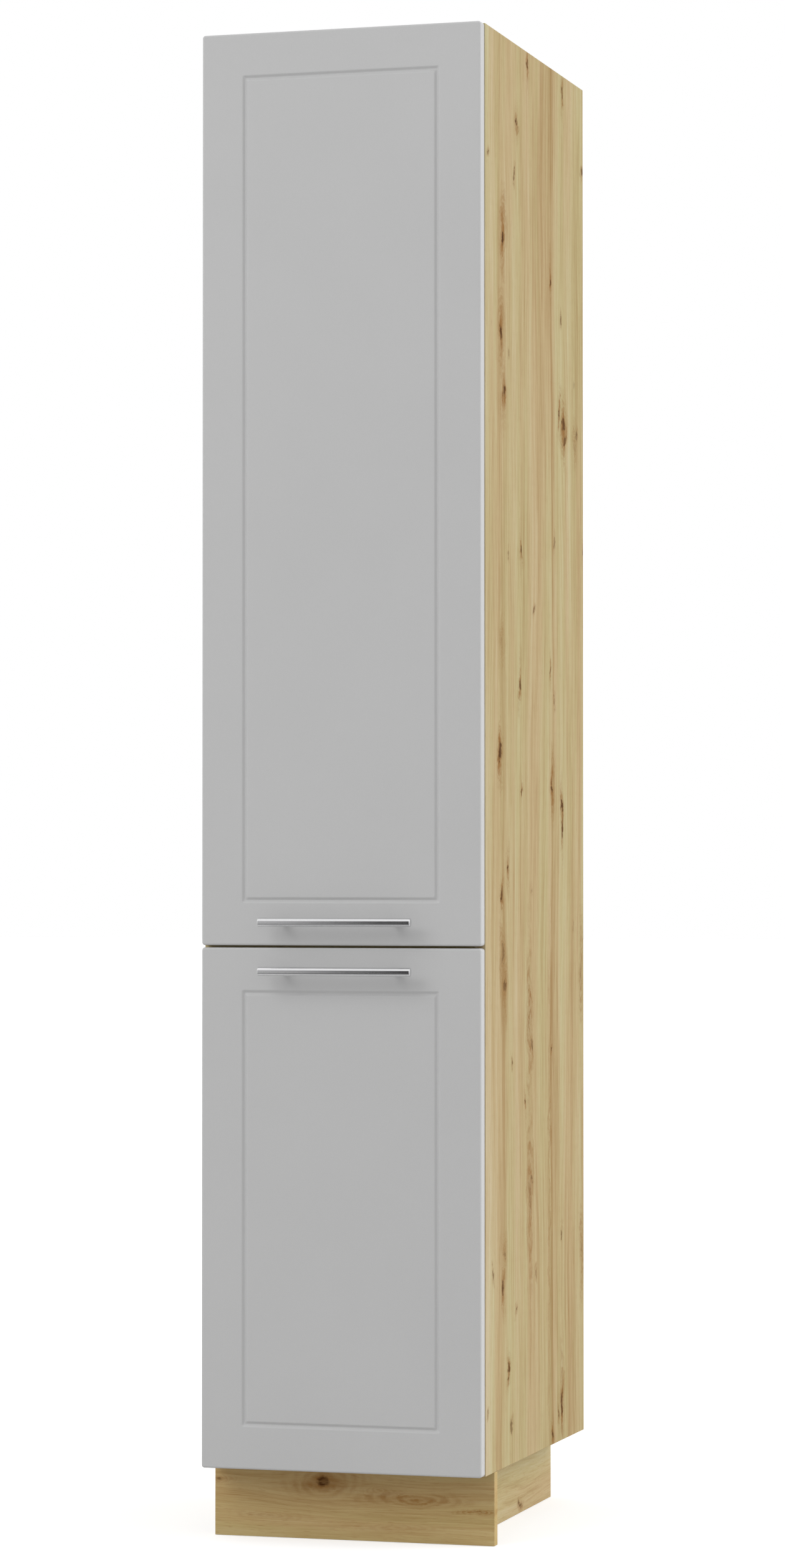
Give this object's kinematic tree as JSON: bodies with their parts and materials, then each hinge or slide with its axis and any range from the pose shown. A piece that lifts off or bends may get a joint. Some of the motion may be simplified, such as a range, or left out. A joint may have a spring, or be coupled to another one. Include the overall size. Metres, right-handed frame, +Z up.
{
  "type": "pull out larder unit",
  "caption": "Tall narrow kitchen cabinet with a lower and an upper pull-out, each a framed front on a steel frame with wire baskets, on a recessed plinth.",
  "frame": {"origin": "on the floor, in the middle of the footprint measured from the handles to the back of the cabinet", "axes": "+X to the right seen from the front, +Y towards the wall, +Z up; the fronts face -Y"},
  "size_m": [0.4, 0.604, 2.07],
  "materials": {
    "oak_decor": "pale knotty oak decor, matt",
    "white_board": "thin white-painted fibreboard",
    "grey_foil": "matt light grey foil on fibreboard",
    "brushed_steel": "brushed, satin",
    "zinc_steel": "zinc-plated sheet",
    "silver_paint": "silver-grey powder coat",
    "chrome_wire": "polished chrome",
    "grey_nylon": "moulded nylon"
  },
  "bodies": {
    "cabinet": {"side_panel_left": "oak_decor", "side_panel_right": "oak_decor", "bottom_panel": "oak_decor", "middle_shelf": "oak_decor", "top_panel": "oak_decor", "back_board_lower": "white_board", "back_board_upper": "white_board", "plinth_front": "oak_decor", "plinth_side_left": "oak_decor", "plinth_side_right": "oak_decor", "plinth_rear": "oak_decor", "lower_runner_rail": "zinc_steel", "lower_guide_rail": "zinc_steel", "upper_runner_rail": "zinc_steel", "upper_guide_rail": "zinc_steel"},
    "lower_pull_out": {"lower_front": "grey_foil", "lower_handle_bar": "brushed_steel", "lower_handle_post_left": "brushed_steel", "lower_handle_post_right": "brushed_steel", "lower_handle_screw_left": "zinc_steel", "lower_handle_screw_right": "zinc_steel", "lower_front_bracket_1": "zinc_steel", "lower_front_bracket_2": "zinc_steel", "lower_front_post": "silver_paint", "lower_rear_post": "silver_paint", "lower_bottom_bar": "silver_paint", "lower_top_bar": "silver_paint", "lower_runner_carriage": "zinc_steel", "lower_guide_shoe": "grey_nylon", "lower_basket_1": "chrome_wire", "lower_basket_2": "chrome_wire"},
    "lower_runner_middle": {"lower_runner_middle": "zinc_steel"},
    "lower_ball_cage_outer": {"lower_ball_cage_outer": "brushed_steel"},
    "lower_ball_cage_inner": {"lower_ball_cage_inner": "brushed_steel"},
    "lower_guide_slide": {"lower_guide_slide": "zinc_steel"},
    "upper_pull_out": {"upper_front": "grey_foil", "upper_handle_bar": "brushed_steel", "upper_handle_post_left": "brushed_steel", "upper_handle_post_right": "brushed_steel", "upper_handle_screw_left": "zinc_steel", "upper_handle_screw_right": "zinc_steel", "upper_front_bracket_1": "zinc_steel", "upper_front_bracket_2": "zinc_steel", "upper_front_bracket_3": "zinc_steel", "upper_front_post": "silver_paint", "upper_rear_post": "silver_paint", "upper_bottom_bar": "silver_paint", "upper_top_bar": "silver_paint", "upper_runner_carriage": "zinc_steel", "upper_guide_shoe": "grey_nylon", "upper_basket_1": "chrome_wire", "upper_basket_2": "chrome_wire", "upper_basket_3": "chrome_wire", "upper_basket_4": "chrome_wire"},
    "upper_runner_middle": {"upper_runner_middle": "zinc_steel"},
    "upper_ball_cage_outer": {"upper_ball_cage_outer": "brushed_steel"},
    "upper_ball_cage_inner": {"upper_ball_cage_inner": "brushed_steel"},
    "upper_guide_slide": {"upper_guide_slide": "zinc_steel"}
  },
  "joints": [
    {"name": "lower_pull", "type": "slide", "parent": "cabinet", "child": "lower_pull_out", "axis": [0, -1, 0], "range_m": [0, 0.48]},
    {"name": "lower_runner_middle_slide", "type": "slide", "parent": "cabinet", "child": "lower_runner_middle", "axis": [0, -1, 0], "range_m": [0, 0.24]},
    {"name": "lower_ball_cage_outer_slide", "type": "slide", "parent": "cabinet", "child": "lower_ball_cage_outer", "axis": [0, -1, 0], "range_m": [0, 0.12]},
    {"name": "lower_ball_cage_inner_slide", "type": "slide", "parent": "cabinet", "child": "lower_ball_cage_inner", "axis": [0, -1, 0], "range_m": [0, 0.36]},
    {"name": "lower_guide_slide_slide", "type": "slide", "parent": "cabinet", "child": "lower_guide_slide", "axis": [0, -1, 0], "range_m": [0, 0.24]},
    {"name": "upper_pull", "type": "slide", "parent": "cabinet", "child": "upper_pull_out", "axis": [0, -1, 0], "range_m": [0, 0.48]},
    {"name": "upper_runner_middle_slide", "type": "slide", "parent": "cabinet", "child": "upper_runner_middle", "axis": [0, -1, 0], "range_m": [0, 0.24]},
    {"name": "upper_ball_cage_outer_slide", "type": "slide", "parent": "cabinet", "child": "upper_ball_cage_outer", "axis": [0, -1, 0], "range_m": [0, 0.12]},
    {"name": "upper_ball_cage_inner_slide", "type": "slide", "parent": "cabinet", "child": "upper_ball_cage_inner", "axis": [0, -1, 0], "range_m": [0, 0.36]},
    {"name": "upper_guide_slide_slide", "type": "slide", "parent": "cabinet", "child": "upper_guide_slide", "axis": [0, -1, 0], "range_m": [0, 0.24]}
  ],
  "couplings": [
    {"joint": "lower_runner_middle_slide", "follows": "lower_pull", "ratio": 0.5},
    {"joint": "lower_ball_cage_outer_slide", "follows": "lower_pull", "ratio": 0.25},
    {"joint": "lower_ball_cage_inner_slide", "follows": "lower_pull", "ratio": 0.75},
    {"joint": "lower_guide_slide_slide", "follows": "lower_pull", "ratio": 0.5},
    {"joint": "upper_runner_middle_slide", "follows": "upper_pull", "ratio": 0.5},
    {"joint": "upper_ball_cage_outer_slide", "follows": "upper_pull", "ratio": 0.25},
    {"joint": "upper_ball_cage_inner_slide", "follows": "upper_pull", "ratio": 0.75},
    {"joint": "upper_guide_slide_slide", "follows": "upper_pull", "ratio": 0.5}
  ]
}
